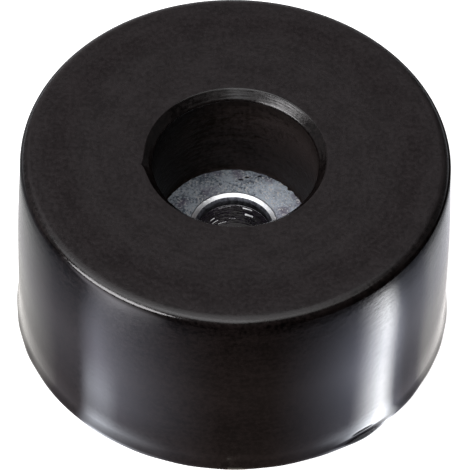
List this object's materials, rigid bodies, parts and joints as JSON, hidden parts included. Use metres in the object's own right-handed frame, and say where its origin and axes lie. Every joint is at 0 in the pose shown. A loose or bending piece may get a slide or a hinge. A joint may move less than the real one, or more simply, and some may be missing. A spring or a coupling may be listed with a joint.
{
  "type": "rubber foot",
  "caption": "Round moulded rubber foot: a deep counterbore with a bevelled mouth leads down to a moulded-in steel washer and a through hole for its fixing screw.",
  "frame": {"origin": "centre of the mounting face, on the screw's axis", "axes": "+Z along the screw's axis from the mounting face to the tread; the foot is round, so X and Y are any two directions across it"},
  "size_m": [0.0384, 0.0384, 0.02],
  "materials": {
    "rubber": "moulded, satin side wall and a slightly matter tread",
    "zinc_steel": "bright zinc plating, mottled"
  },
  "bodies": {
    "root": {"rubber_body": "rubber", "steel_washer": "zinc_steel"}
  },
  "joints": []
}
